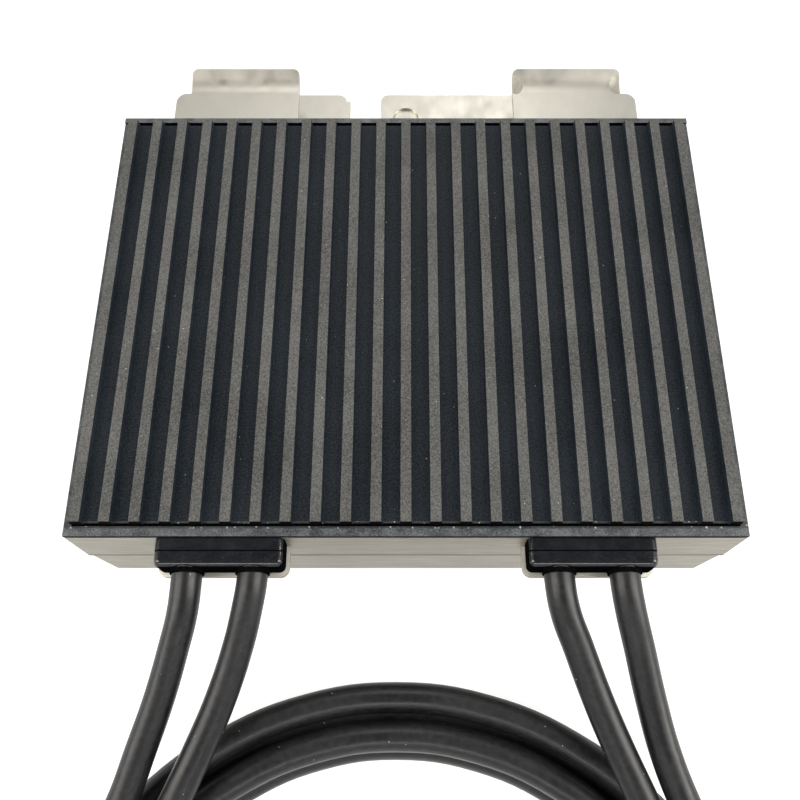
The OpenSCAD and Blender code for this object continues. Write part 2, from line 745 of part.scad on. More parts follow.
// The leads' ends inside: through the gland, round an elbow, down to a terminal
module lead_ends() {
    drop_z = board_z1 + terminal_h;
    color(cable_black) for (x = cable_xs) {
        forward(x, lead_turn_y, cable_z, cable_d, lead_turn_y - collar_y);
        translate([x, lead_turn_y, cable_z - elbow_r]) rotate([0, 90, 0]) rotate([0, 0, 90])
            rotate_extrude(angle = 90) translate([elbow_r, 0]) circle(d = cable_d);
        translate([x, lead_turn_y + elbow_r, drop_z]) cylinder(d = cable_d, h = cable_z - elbow_r - drop_z);
        translate([x, lead_turn_y + elbow_r, board_z1 + 1]) cylinder(d = core_wire_d, h = terminal_h);
    }
}

module input_cable_1() { color(cable_black) tube(from_collar(cable_xs[0], input_1), cable_d); }
module input_cable_2() { color(cable_black) tube(from_collar(cable_xs[1], input_2), cable_d); }
module output_cable_1() { color(cable_black) tube(from_collar(cable_xs[2], output_1), cable_d); }
module output_cable_2() { color(cable_black) tube(from_collar(cable_xs[3], output_2), cable_d); }
module output_tail_1() { color(cable_black) tube(from_coil(tail_1_angle, tail_1), cable_d); }
module output_tail_2() { color(cable_black) tube(from_coil(tail_2_angle, tail_2), cable_d); }

// A stretch of ring round the coil's middle
module coil_part(r0, r1, z0, z1, a0, a1) {
    translate([coil_at[0], coil_at[1], 0]) rotate([0, 0, a0]) rotate_extrude(angle = a1 - a0, $fn = 96)
        translate([r0, z0]) square([r1 - r0, z1 - z0]);
}

module cable_coil() {
    color(cable_black) {
        coil_part(coil_in, coil_out, coil_z0, coil_z1, 0, 360);
        coil_part(top_lay_in, top_lay_out, coil_z1 - past, top_lay_z1, -100, 0);
        coil_part(coil_out - past, side_lay_out, coil_z0, side_lay_z1, tail_2_angle, 20);
        coil_part(coil_out - past, side_lay_out, coil_z0, side_lay_z1, tail_1_angle, -40);
    }
}

// A flat strap round the coil's section
module coil_tie() {
    a0 = 236;
    a1 = 249;
    r0 = coil_in - tie_gap;
    r1 = coil_out + tie_gap;
    color(gasket_grey) {
        coil_part(r0 - tie_t, r1 + tie_t, 0, coil_z0 - tie_gap, a0, a1);
        coil_part(r0 - tie_t, r1 + tie_t, coil_z1 + tie_gap, coil_z1 + tie_gap + tie_t, a0, a1);
        coil_part(r0 - tie_t, r0, 0, coil_z1 + tie_t, a0, a1);
        coil_part(r1, r1 + tie_t, 0, coil_z1 + tie_t, a0, a1);
    }
}

// A ribbed cap nut that clamps the cable
module nut(x) {
    color(rubber_black) difference() {
        union() {
            forward(x, nut_y - nut_taper_l, plug_z, nut_d - 2 * rib_t, nut_l - nut_taper_l);
            translate([x, nut_y - nut_taper_l, plug_z]) rotate([-90, 0, 0])
                cylinder(d1 = nut_d - 2 * rib_t, d2 = nut_end_d, h = nut_taper_l);
            for (i = [0 : rib_count - 1])
                translate([x, nut_y - nut_taper_l, plug_z]) rotate([90, i * 360 / rib_count, 0])
                    translate([nut_d / 2 - 2 * rib_t, -rib_w / 2, 0])
                        cube([2 * rib_t, rib_w, nut_l - nut_taper_l - rib_end]);
        }
        forward(x, nut_y + past, plug_z, cable_hole_d, nut_l + 2 * past);
        forward(x, nut_y - cable_depth, plug_z, seal_d, nut_l);
    }
}

module input_nut_1() { nut(input_socket_x); }
module input_nut_2() { nut(input_plug_x); }
module output_nut_1() { nut(output_socket_x); }
module output_nut_2() { nut(output_plug_x); }

// The rubber seals between cap nut and housing, and the rings on the plug halves' noses
module connector_seals() {
    color("#3a3a3a") {
        for (x = [input_socket_x, input_plug_x, output_socket_x, output_plug_x]) difference() {
            forward(x, nut_y - cable_depth, plug_z, seal_d, seal_l);
            forward(x, nut_y - cable_depth + past, plug_z, crimp_d, seal_l + 2 * past);
        }
        for (x = [input_plug_x, output_plug_x]) nose_ring(x);
    }
}

// Housing parts that both halves share
module shell(x) {
    forward(x, shell_y, plug_z, shell_d, shell_l);
    forward(x, shell_y, plug_z, nut_d - 2 * rib_t, shoulder_l);
    forward(x, shell_y + nut_l - cable_depth - seal_l, plug_z, seal_d, nut_l - cable_depth - seal_l + past);
}

module contact_hole(x) {
    forward(x, shell_y + nut_l, plug_z, crimp_d, nut_l + shell_l + past);
}

// The half with an open sleeve round its contact pin
module socket_half(x) {
    mouth_d = nose_d + 2 * play;
    color(rubber_black) difference() {
        union() {
            shell(x);
            forward(x, mate_y + past, plug_z, shell_d, mate_l + past);
        }
        contact_hole(x);
        forward(x, mate_y, plug_z, mouth_d, mate_l + past);
        for (s = [-1, 1])
            translate([x + s * shell_d / 2 - shell_d / 4, mate_y - mate_l * 0.75,
                plug_z - latch_w / 2 - play])
                cube([shell_d / 2, mate_l * 0.45, latch_w + 2 * play]);
    }
}

// The sealing ring round a plug half's nose
module nose_ring(x) {
    difference() {
        forward(x, mate_y - mate_l + ring_y, plug_z, nose_d + play, ring_l);
        forward(x, mate_y - mate_l + ring_y + past, plug_z, nose_d - 2 * ring_t, ring_l + 2 * past);
    }
}

// The half with a slim nose and two barbed latches
module plug_half(x) {
    latch_x = shell_d / 2 - latch_t;
    tip_y = mate_y - latch_l;
    color(rubber_black) difference() {
        union() {
            shell(x);
            forward(x, mate_y + past, plug_z, nose_d, mate_l + past);
            for (m = [0, 1])
                translate([x, 0, plug_z - latch_w / 2]) mirror([m, 0, 0]) linear_extrude(latch_w)
                    polygon([[latch_x, mate_y + past], [latch_x, tip_y], [shell_d / 2, tip_y],
                        [shell_d / 2 + barb_t, tip_y + barb_l], [shell_d / 2, tip_y + barb_l],
                        [shell_d / 2, mate_y + past]]);
        }
        nose_ring(x);
        contact_hole(x);
        forward(x, mate_y + past, plug_z, crimp_d, mate_l + 2 * past);
    }
}

module input_socket() { socket_half(input_socket_x); }
module input_plug() { plug_half(input_plug_x); }
module output_socket() { socket_half(output_socket_x); }
module output_plug() { plug_half(output_plug_x); }

// Contact pin of a socket half
module pin(x) {
    color(tin) {
        forward(x, nut_y - cable_depth, plug_z, crimp_d, nut_l - cable_depth + shell_l);
        forward(x, mate_y + past, plug_z, pin_d, mate_l - 3 + past);
    }
}

// Contact sleeve of a plug half
module sleeve(x) {
    color(tin) difference() {
        forward(x, nut_y - cable_depth, plug_z, crimp_d, nut_l - cable_depth + shell_l + mate_l - 2);
        forward(x, mate_y, plug_z, pin_d + play, mate_l);
    }
}

module input_pin() { pin(input_socket_x); }
module output_pin() { pin(output_socket_x); }
module input_sleeve() { sleeve(input_plug_x); }
module output_sleeve() { sleeve(output_plug_x); }

heat_sink_cover();
cover_gasket();
housing_frame();
tray_gasket();
base_tray();
gland_left();
gland_right();
clip_left();
clip_right();
clip_rivets();
case_screws();
circuit_board();
board_screws();
inductor_core();
inductor_winding();
input_capacitors();
output_capacitors();
switch_transistors();
thermal_pad();
controller_chip();
comms_transformer();
lead_terminals();
lead_ends();
input_cable_1();
input_cable_2();
output_cable_1();
output_cable_2();
cable_coil();
coil_tie();
output_tail_1();
output_tail_2();
input_nut_1();
input_nut_2();
output_nut_1();
output_nut_2();
input_socket();
input_plug();
output_socket();
output_plug();
input_pin();
input_sleeve();
output_pin();
output_sleeve();
connector_seals();
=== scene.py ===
"""Looks of the power optimizer: a finned black heat sink on a silver case, glossy cable glands,
folded steel clips and four black cable leads, the output pair wound into a coil."""
import math

import bmesh
import bpy
from mathutils import Matrix, Vector


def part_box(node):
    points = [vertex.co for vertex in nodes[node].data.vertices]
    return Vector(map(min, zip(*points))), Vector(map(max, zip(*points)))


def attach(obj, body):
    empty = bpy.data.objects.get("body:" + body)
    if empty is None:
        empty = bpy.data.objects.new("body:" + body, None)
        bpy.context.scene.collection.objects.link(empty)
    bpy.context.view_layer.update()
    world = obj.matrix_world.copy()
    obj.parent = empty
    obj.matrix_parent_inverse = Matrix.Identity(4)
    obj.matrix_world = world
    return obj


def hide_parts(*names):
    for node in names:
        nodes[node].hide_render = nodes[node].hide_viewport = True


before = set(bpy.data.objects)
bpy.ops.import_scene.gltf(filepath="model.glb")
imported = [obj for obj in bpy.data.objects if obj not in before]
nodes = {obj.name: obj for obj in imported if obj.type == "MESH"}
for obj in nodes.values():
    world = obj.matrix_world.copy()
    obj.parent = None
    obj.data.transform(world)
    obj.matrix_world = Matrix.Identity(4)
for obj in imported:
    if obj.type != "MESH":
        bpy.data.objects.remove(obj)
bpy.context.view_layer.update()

MM = 0.001


def box_mm(node):
    """A node's lowest and highest corners in millimetres."""
    return [[round(c / MM, 3) for c in corner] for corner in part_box(node)]


# Nodes of materials and the sky

MIX_A, MIX_B, MIX_RESULT = 6, 7, 2


def srgb(code):
    """An sRGB hex colour as linear values, opaque."""
    parts = [int(code[i:i + 2], 16) / 255 for i in (0, 2, 4)]
    return tuple(c / 12.92 if c <= 0.04045 else ((c + 0.055) / 1.055) ** 2.4 for c in parts) + (1.0,)


def feed(tree, node, inputs):
    """Sets or links a node's inputs, each given by its name or number."""
    for key, value in inputs.items():
        if isinstance(value, bpy.types.NodeSocket):
            tree.links.new(value, node.inputs[key])
        else:
            node.inputs[key].default_value = value


def add(tree, kind, inputs=None, **settings):
    """Adds a node with its settings and inputs."""
    node = tree.nodes.new(kind)
    for name, value in settings.items():
        setattr(node, name, value)
    feed(tree, node, inputs or {})
    return node


# Camera: its place and tilt are worked out from the photograph's vanishing points

CAMERA_PLACE = Vector((0, -90.5, 195)) * MM
CAMERA_PITCH = math.radians(23)
CAMERA_LENS = 39.94
CAMERA_SENSOR = 36
CAMERA_SHIFT_X = -0.0074
CAMERA_NEAREST = 0.01


def make_camera():
    """The photograph's camera, which looks down on the part from over its leads."""
    data = bpy.data.cameras.new("photo_camera")
    data.lens = CAMERA_LENS
    data.sensor_width = CAMERA_SENSOR
    data.sensor_fit = "HORIZONTAL"
    data.shift_x = CAMERA_SHIFT_X
    data.clip_start = CAMERA_NEAREST
    camera = bpy.data.objects.new("photo_camera", data)
    camera.location = CAMERA_PLACE
    camera.rotation_euler = (CAMERA_PITCH, 0, 0)
    bpy.context.scene.collection.objects.link(camera)
    bpy.context.scene.camera = camera


# Studio lights: place and aim in metres, width and height in metres, power in watts, and tint

LIGHTS = {
    "left_softbox": ((-0.75, -0.15, 0.7), (0, -0.1, 0), (0.45, 0.9), 8.3, "fffaf3"),
    "right_softbox": ((0.75, -0.1, 0.7), (0, -0.1, 0), (0.45, 0.9), 8.3, "fffcf7"),
    "front_strip": ((0, -0.8, 0.6), (0, -0.05, 0), (0.8, 0.14), 2.6, "fffcf8"),
    "right_strip": ((0.85, -0.15, 0.55), (0, -0.1, 0), (0.04, 0.8), 2.0, "fff8ee"),
    "rear_softbox": ((0.06, 0.53, 0.58), (0.015, 0.055, 0.02), (0.12, 0.16), 0.2, "fffefb"),
    "top_softbox": ((-0.03, 0.47, 0.84), (0, -0.02, 0), (0.34, 0.22), 0.8, "fffdf9"),
}
FLOOR_HALF = 6
FLOOR_GLOW = 0.79
FLOOR_FIBRE_MM = 3

# Sky: its strengths, and the parts of a direction's unit vector between which one turns into the next

SKY_FRONT, SKY_REAR = 0.55, 0.65
SKY_FRONT_Y, SKY_REAR_Y = -0.6, 0.9
SKY_OVERHEAD = 0.17
SKY_DIMS_FROM_Z, SKY_DIM_AT_Z = 0.65, 0.95
SKY_HORIZON = 1.02
SKY_HORIZON_Z, SKY_UPPER_Z = 0.35, 0.6


def make_light(name, place, aim, size, watts, colour):
    """A softbox or strip light that faces what it is aimed at."""
    data = bpy.data.lights.new(name, "AREA")
    data.shape = "RECTANGLE"
    data.size, data.size_y = size
    data.energy = watts
    data.color = srgb(colour)[:3]
    light = bpy.data.objects.new(name, data)
    light.location = place
    light.rotation_euler = (Vector(aim) - Vector(place)).to_track_quat("-Z", "Y").to_euler()
    bpy.context.scene.collection.objects.link(light)


def make_sky():
    """A softly lit room: white round the horizon, bright behind the part, dim overhead."""
    world = bpy.data.worlds.new("studio")
    bpy.context.scene.world = world
    world.use_nodes = True
    tree = world.node_tree
    direction = add(tree, "ShaderNodeTexCoord").outputs["Generated"]
    parts = add(tree, "ShaderNodeSeparateXYZ", {"Vector": direction})
    level = add(tree, "ShaderNodeMapRange",
                {"Value": parts.outputs["Y"], "From Min": SKY_FRONT_Y, "From Max": SKY_REAR_Y,
                 "To Min": SKY_FRONT, "To Max": SKY_REAR})
    overhead = add(tree, "ShaderNodeMapRange",
                   {"Value": parts.outputs["Z"], "From Min": SKY_DIMS_FROM_Z, "From Max": SKY_DIM_AT_Z,
                    "To Min": 1.0, "To Max": SKY_OVERHEAD})
    upper = add(tree, "ShaderNodeMath", {0: level.outputs[0], 1: overhead.outputs[0]}, operation="MULTIPLY")
    strength = add(tree, "ShaderNodeMapRange",
                   {"Value": parts.outputs["Z"], "From Min": SKY_HORIZON_Z, "From Max": SKY_UPPER_Z,
                    "To Min": SKY_HORIZON, "To Max": upper.outputs[0]})
    feed(tree, tree.nodes["Background"], {"Color": srgb("fffefc"), "Strength": strength.outputs[0]})


def make_studio():
    """White paper under the part, lit from all round."""
    scene = bpy.context.scene
    scene.view_settings.view_transform = "Standard"
    scene.view_settings.look = "None"
    make_sky()
    for name, setting in LIGHTS.items():
        make_light(name, *setting)
    bm = bmesh.new()
    bmesh.ops.create_grid(bm, x_segments=1, y_segments=1, size=FLOOR_HALF)
    floor = new_piece("studio_floor", bm, white_studio_paper())


# Ways to make a surface: sizes in millimetres, and the noise levels between which a tone changes

CLOUD_MM = 14
CLOUD_WEIGHT = 0.4
GRIT_LOW, GRIT_HIGH = 0.5, 0.9
GRIT_DEPTH = 0.05
# Pale flecks, painted glints on the powder coats and dust on the nylon: patch and grain sizes, weight and
# noise levels
PATCH_MM = 2.5
PATCH_WEIGHT = 0.45
GLINT_AND_DUST_MM = 0.16
GLINT_AND_DUST_LOW, GLINT_AND_DUST_HIGH = 0.62, 1.0
SPECK_RARITY = 0.72
SCUFF_LOW, SCUFF_HIGH = 0.3, 0.7
GRAIN_LOW, GRAIN_HIGH = 0.35, 0.65
GRAIN_DEPTH = 0.03
GRAIN_SHINE = 0.08
# Painted shade along the case's seam: its colour, its strength, and the distances from the seam where it
# starts and stops fading
SEAM_SHADE = "3a3630"
SEAM_SHADE_WEIGHT = 0.75
SEAM_SHADE_NEAR, SEAM_SHADE_FAR = 0.5, 1.3


def start_material(name):
    """A new material, its node tree, its shader and the socket of its Object coordinates."""
    material = bpy.data.materials.new(name)
    material.use_nodes = True
    tree = material.node_tree
    shader = tree.nodes["Principled BSDF"]
    coordinates = add(tree, "ShaderNodeTexCoord").outputs["Object"]
    return material, tree, shader, coordinates


def per_mm(size):
    """The scale of a pattern on Object coordinates whose features are this many millimetres."""
    return 1 / (size * MM)


def speckled(name, dark, light, speck, grit_mm, speck_mm, roughness, bump, speck_share=0.08, specular=0.5,
             fleck=None, scuff=0.07, drawn=(1, 1, 1)):
    """A gritty surface with scattered light specks, for coats, plastics and jackets.
    A fleck colour mixes in pale flecks, painted glints on the powder coats and dust on the nylon;
    scuff is how much the shine varies; drawn gives how many times longer the grit is in X, Y and Z.
    Real grit is finer than the render can show, so grit_mm is drawn coarser."""
    material, tree, shader, coordinates = start_material(name)
    stretch = add(tree, "ShaderNodeMapping", {"Vector": coordinates, "Scale": [1 / d for d in drawn]})
    grit = add(tree, "ShaderNodeTexNoise",
               {"Vector": stretch.outputs["Vector"], "Scale": per_mm(grit_mm), "Detail": 2.0})
    cloud = add(tree, "ShaderNodeTexNoise",
                {"Vector": coordinates, "Scale": per_mm(CLOUD_MM), "Detail": 4.0})
    drift = add(tree, "ShaderNodeMath", {0: cloud.outputs["Fac"], 1: CLOUD_WEIGHT, 2: grit.outputs["Fac"]},
                operation="MULTIPLY_ADD")
    spread = add(tree, "ShaderNodeMapRange",
                 {"Value": drift.outputs[0], "From Min": GRIT_LOW, "From Max": GRIT_HIGH})
    colour = add(tree, "ShaderNodeMix",
                 {"Factor": spread.outputs[0], MIX_A: srgb(dark), MIX_B: srgb(light)},
                 data_type="RGBA").outputs[MIX_RESULT]
    # Painted glints on the powder coats, dust on the nylon: pale flecks where a patch noise and a fine noise
    # add up high
    if fleck:
        patch = add(tree, "ShaderNodeTexNoise",
                    {"Vector": coordinates, "Scale": per_mm(PATCH_MM), "Detail": 3.0})
        fleck_grain = add(tree, "ShaderNodeTexNoise",
                    {"Vector": coordinates, "Scale": per_mm(GLINT_AND_DUST_MM), "Detail": 2.0})
        fleck_field = add(tree, "ShaderNodeMath",
                   {0: patch.outputs["Fac"], 1: PATCH_WEIGHT, 2: fleck_grain.outputs["Fac"]},
                   operation="MULTIPLY_ADD")
        glint_and_dust = add(tree, "ShaderNodeMapRange",
                    {"Value": fleck_field.outputs[0], "From Min": GLINT_AND_DUST_LOW, "From Max": GLINT_AND_DUST_HIGH})
        colour = add(tree, "ShaderNodeMix", {"Factor": glint_and_dust.outputs[0], MIX_A: colour, MIX_B: srgb(fleck)},
                     data_type="RGBA").outputs[MIX_RESULT]
    cells = add(tree, "ShaderNodeTexVoronoi", {"Vector": coordinates, "Scale": per_mm(speck_mm)})
    ragged = add(tree, "ShaderNodeMath", {0: grit.outputs["Fac"], 1: speck_share * 2}, operation="MULTIPLY")
    near = add(tree, "ShaderNodeMath", {0: cells.outputs["Distance"], 1: ragged.outputs[0]},
               operation="LESS_THAN")
    chance = add(tree, "ShaderNodeSeparateColor", {"Color": cells.outputs["Color"]})
    few = add(tree, "ShaderNodeMath", {0: chance.outputs["Red"], 1: SPECK_RARITY}, operation="GREATER_THAN")
    mask = add(tree, "ShaderNodeMath", {0: near.outputs[0], 1: few.outputs[0]}, operation="MULTIPLY")
    colour = add(tree, "ShaderNodeMix", {"Factor": mask.outputs[0], MIX_A: colour, MIX_B: srgb(speck)},
                 data_type="RGBA").outputs[MIX_RESULT]
    rough = add(tree, "ShaderNodeMapRange",
                {"Value": cloud.outputs["Fac"], "From Min": SCUFF_LOW, "From Max": SCUFF_HIGH,
                 "To Min": roughness - scuff, "To Max": roughness + scuff})
    height = add(tree, "ShaderNodeBump",
                 {"Height": grit.outputs["Fac"], "Strength": bump, "Distance": GRIT_DEPTH * MM})
    feed(tree, shader, {"Base Color": colour, "Roughness": rough.outputs[0],
                        "Normal": height.outputs["Normal"], "Specular IOR Level": specular})
    return material


def metal(name, dark, light, grain_mm, roughness, blotch_mm, grain=(1, 1, 1), bump=0.2, blotch_share=0.45,
          seam_z=None):
    """Bare metal: grain gives how many times longer its grain is in X, Y and Z, and blotches are its
    slower changes of tone. A seam height adds a dark band of painted shade there, for the shadow
    under the frame's overhang. Real grain is finer than the render can show, so grain_mm is drawn coarser."""
    material, tree, shader, coordinates = start_material(name)
    stretch = add(tree, "ShaderNodeMapping", {"Vector": coordinates, "Scale": [1 / g for g in grain]})
    lines = add(tree, "ShaderNodeTexNoise",
                {"Vector": stretch.outputs["Vector"], "Scale": per_mm(grain_mm), "Detail": 5.0,
                 "Roughness": 0.6})
    blotch = add(tree, "ShaderNodeTexNoise",
                 {"Vector": coordinates, "Scale": per_mm(blotch_mm), "Detail": 3.0})
    blend = add(tree, "ShaderNodeMix",
                {"Factor": blotch_share, "A": lines.outputs["Fac"], "B": blotch.outputs["Fac"]})
    spread = add(tree, "ShaderNodeMapRange",
                 {"Value": blend.outputs["Result"], "From Min": GRAIN_LOW, "From Max": GRAIN_HIGH})
    colour = add(tree, "ShaderNodeMix",
                 {"Factor": spread.outputs[0], MIX_A: srgb(dark), MIX_B: srgb(light)},
                 data_type="RGBA").outputs[MIX_RESULT]
    # Painted shade: a dark band along the seam, for the shadow under the frame's overhang
    if seam_z:
        parts = add(tree, "ShaderNodeSeparateXYZ", {"Vector": coordinates})
        off = add(tree, "ShaderNodeMath", {0: parts.outputs["Z"], 1: seam_z * MM}, operation="SUBTRACT")
        away = add(tree, "ShaderNodeMath", {0: off.outputs[0]}, operation="ABSOLUTE")
        seam_shade = add(tree, "ShaderNodeMapRange",
                    {"Value": away.outputs[0], "From Min": SEAM_SHADE_NEAR * MM, "From Max": SEAM_SHADE_FAR * MM,
                     "To Min": SEAM_SHADE_WEIGHT, "To Max": 0.0})
        colour = add(tree, "ShaderNodeMix", {"Factor": seam_shade.outputs[0], MIX_A: colour, MIX_B: srgb(SEAM_SHADE)},
                     data_type="RGBA").outputs[MIX_RESULT]
    rough = add(tree, "ShaderNodeMapRange",
                {"Value": blend.outputs["Result"], "From Min": GRAIN_LOW, "From Max": GRAIN_HIGH,
                 "To Min": roughness + GRAIN_SHINE, "To Max": roughness - GRAIN_SHINE})
    height = add(tree, "ShaderNodeBump",
                 {"Height": lines.outputs["Fac"], "Strength": bump, "Distance": GRAIN_DEPTH * MM})
    feed(tree, shader, {"Base Color": colour, "Roughness": rough.outputs[0],
                        "Normal": height.outputs["Normal"], "Metallic": 1.0})
    return material


# Materials of the studio, the case and the clips

SEAM_Z = box_mm("housing_frame")[0][2]


def white_studio_paper():
    """Seamless paper: white and matte, with a glow that keeps it white away from the lights."""
    material, tree, shader, coordinates = start_material("white_studio_paper")
    fibre = add(tree, "ShaderNodeTexNoise", {"Vector": coordinates, "Scale": per_mm(FLOOR_FIBRE_MM)})
    colour = add(tree, "ShaderNodeMix",
                 {"Factor": fibre.outputs["Fac"], MIX_A: srgb("9f9f9e"), MIX_B: srgb("a3a3a2")},
                 data_type="RGBA").outputs[MIX_RESULT]
    feed(tree, shader, {"Base Color": colour, "Roughness": 0.9, "Specular IOR Level": 0.2,
                        "Emission Color": srgb("ffffff"), "Emission Strength": FLOOR_GLOW})
    return material


def brushed_aluminium():
    """Brushed aluminium: a warm silver with fine level lines, and a band of painted shade at the case's seam.
    """
    return metal("brushed_aluminium", dark="8f8b81", light="9f9b91", grain_mm=0.25, roughness=0.5,
                 blotch_mm=25, grain=(30, 30, 1), bump=0.15, blotch_share=0.15, seam_z=SEAM_Z)


def pale_tongue_aluminium():
    """Aluminium on the tongues' upper faces, painted pale as light: even and soft in its shine."""
    return metal("pale_tongue_aluminium", dark="dedad0", light="ebe8df", grain_mm=0.5, roughness=0.6, blotch_mm=8,
                 bump=0.1)


def rolled_stainless_sheet():
    """Cold-rolled stainless steel: smooth and bright, with slow changes of tone."""
    return metal("rolled_stainless_sheet", dark="c6c3b9", light="cecbc1", grain_mm=3.0, roughness=0.37,
                 blotch_mm=22, grain=(1, 1.5, 1), bump=0.02)


def dent_shade_stainless_sheet():
    """Stainless steel in the dents: rougher than the sheet round it, and greyer as painted shade."""
    return metal("dent_shade_stainless_sheet", dark="9b988f", light="b4b1a7", grain_mm=1.0, roughness=0.55,
                 blotch_mm=8, grain=(1, 1.5, 1), bump=0.05)


def zinc_plated_steel():
    """Zinc-plated steel: a cool grey with a low shine."""
    return metal("zinc_plated_steel", dark="86878a", light="b9babc", grain_mm=0.5, roughness=0.3, blotch_mm=3)


# Materials of the heat sink: one powder coat on cast aluminium, as sprayed and rubbed, with copies of it that
# carry painted shade and painted glints

def black_powder_coat():
    """Powder coat as sprayed: a dark grey orange peel with scattered pale specks, and pale flecks painted as
    glints.
    """
    return speckled("black_powder_coat", dark="191b1d", light="303336", speck="c9c8c4", grit_mm=0.35,
                    speck_mm=1.1, roughness=0.36, bump=0.9, speck_share=0.06, fleck="6b6f73")


def rubbed_powder_coat():
    """Powder coat rubbed on the fin tops: a paler, flat grey with a fine grit."""
    return speckled("rubbed_powder_coat", dark="2c2d2c", light="5c5c5a", speck="cfcdc5", grit_mm=0.25,
                    speck_mm=1.5, roughness=0.6, bump=0.8, speck_share=0.05, specular=0.3)


def shaded_powder_coat():
    """Powder coat down in the grooves, darkened as painted shade: a bluish black with hardly any shine."""
    return speckled("shaded_powder_coat", dark="0e1419", light="2a3138", speck="8f9296", grit_mm=0.35,
                    speck_mm=2.0, roughness=0.5, bump=0.7, speck_share=0.05, specular=0.15)


def ledge_glint_powder_coat():
    """Powder coat along the ledge's rear edge, painted paler as a highlight: a lighter grey line with pale
    specks and flecks painted as glints.
    """
    return speckled("ledge_glint_powder_coat", dark="343637", light="5c5e5e", speck="aeaca5", grit_mm=0.4,
                    speck_mm=0.9, roughness=0.5, bump=0.8, speck_share=0.1, specular=0.4, fleck="8d8c87")


def unlit_powder_coat():
    """Powder coat painted black as shade: in the channel in front of the fins, in the slot behind them and on
    the fins' front ends.
    """
    return speckled("unlit_powder_coat", dark="010101", light="040405", speck="0c0c0d", grit_mm=0.4,
                    speck_mm=2.0, roughness=0.7, bump=0.3, speck_share=0.04, specular=0.05)


def edge_glint_powder_coat():
    """Powder coat on sharp edges: dark as painted shade, with small pale spots painted as glints."""
    return speckled("edge_glint_powder_coat", dark="15181c", light="33373b", speck="98968f", grit_mm=0.3,
                    speck_mm=0.7, roughness=0.4, bump=0.8, speck_share=0.28)


# Materials of the glands, the leads and the connectors

def glossy_black_nylon():
    """Nylon moulded in a polished tool: black with crisp reflections and a little dust."""
    return speckled("glossy_black_nylon", dark="06070a", light="101216", speck="3a3b3c", grit_mm=0.6,
                    speck_mm=2.0, roughness=0.13, bump=0.35, speck_share=0.05, specular=0.55,
                    fleck="24262a", scuff=0.05)


def shade_black_nylon():
    """Nylon without any shine: a deep black painted as shade on the glands' upright faces, their step and the
    collars.
    """
    return speckled("shade_black_nylon", dark="040405", light="0b0c0d", speck="2a2b2c", grit_mm=0.5,
                    speck_mm=2.0, roughness=0.5, bump=0.3, speck_share=0.04, specular=0.0)


def extruded_cable_jacket():
    """Extruded polyolefin: satin black with faint lines along it, a few pale scuffs, and a waxy film
    that adds crisp narrow highlights."""
    material = speckled("extruded_cable_jacket", dark="0a0b0d", light="1e1f21", speck="b9b7b2", grit_mm=0.3,
                        speck_mm=1.6, roughness=0.45, bump=0.12, speck_share=0.05, specular=0.25,
                        scuff=0.12, drawn=(4, 4, 1))
    tree = material.node_tree
    feed(tree, tree.nodes["Principled BSDF"], {"Coat Weight": 0.25, "Coat Roughness": 0.28})
    return material


def moulded_black_polyamide():
    """Glass-filled polyamide, moulded: black and slightly rough."""
    return speckled("moulded_black_polyamide", dark="0e0e0f", light="19191a", speck="3c3c3c", grit_mm=0.3,
                    speck_mm=2.0, roughness=0.45, bump=0.25)


def woven_nylon_strap():
    """Woven nylon: black, coarse and without shine."""
    return speckled("woven_nylon_strap", dark="111112", light="1f1f20", speck="4a4a4a", grit_mm=0.5,
                    speck_mm=1.2, roughness=0.8, bump=0.6)


def black_seal_rubber():
    """Moulded rubber: black and dull."""
    return speckled("black_seal_rubber", dark="101011", light="1a1a1b", speck="333333", grit_mm=0.4,
                    speck_mm=2.0, roughness=0.7, bump=0.2)


def tinned_brass():
    """Tin-plated brass: a warm grey with a soft shine."""
    return metal("tinned_brass", dark="8d8a80", light="c4c0b4", grain_mm=0.6, roughness=0.32, blotch_mm=3)


# Materials of the converter inside the case

def inner_cable_jacket():
    """Extruded polyolefin on the leads' stripped ends: satin black."""
    return speckled("inner_cable_jacket", dark="151516", light="222224", speck="5b5b5b", grit_mm=0.5,
                    speck_mm=2.4, roughness=0.45, bump=0.15)


def enamelled_copper_wire():
    """Enamelled copper: a glossy reddish brown."""
    return metal("enamelled_copper_wire", dark="7d3f1c", light="b4632f", grain_mm=0.4, roughness=0.25,
                 blotch_mm=4)


def moulded_epoxy():
    """Moulded epoxy on chips: charcoal with a fine grain."""
    return speckled("moulded_epoxy", dark="141416", light="202124", speck="4a4a4c", grit_mm=0.2, speck_mm=0.8,
                    roughness=0.55, bump=0.3)


def sintered_ferrite():
    """Sintered ferrite: a dull iron grey, slightly grainy."""
    return speckled("sintered_ferrite", dark="2c2e31", light="44474b", speck="6c6f73", grit_mm=0.3,
                    speck_mm=0.9, roughness=0.6, bump=0.4)


def shrunk_capacitor_sleeve():
    """Film shrunk over a can: a smooth dark blue with a clear shine."""
    return speckled("shrunk_capacitor_sleeve", dark="1d2430", light="2c3644", speck="505a66", grit_mm=0.8,
                    speck_mm=3.0, roughness=0.3, bump=0.1)


def green_solder_mask():
    """Solder mask over copper tracks: a glossy mottled green."""
    return speckled("green_solder_mask", dark="12361c", light="1f5a2f", speck="8fae8a", grit_mm=0.7,
                    speck_mm=2.6, roughness=0.35, bump=0.2)


def silicone_thermal_pad():
    """Filled silicone: a flat blue grey."""
    return speckled("silicone_thermal_pad", dark="6d8496", light="8da4b5", speck="b4c4cf", grit_mm=0.4,
                    speck_mm=1.2, roughness=0.8, bump=0.3)


# Ways to make a piece: angles in degrees, and lengths in millimetres that count as none

SHARP_ANGLE = 35
FLAT_ANGLE = 0.5
WELD = 0.001
HAIR = 0.01


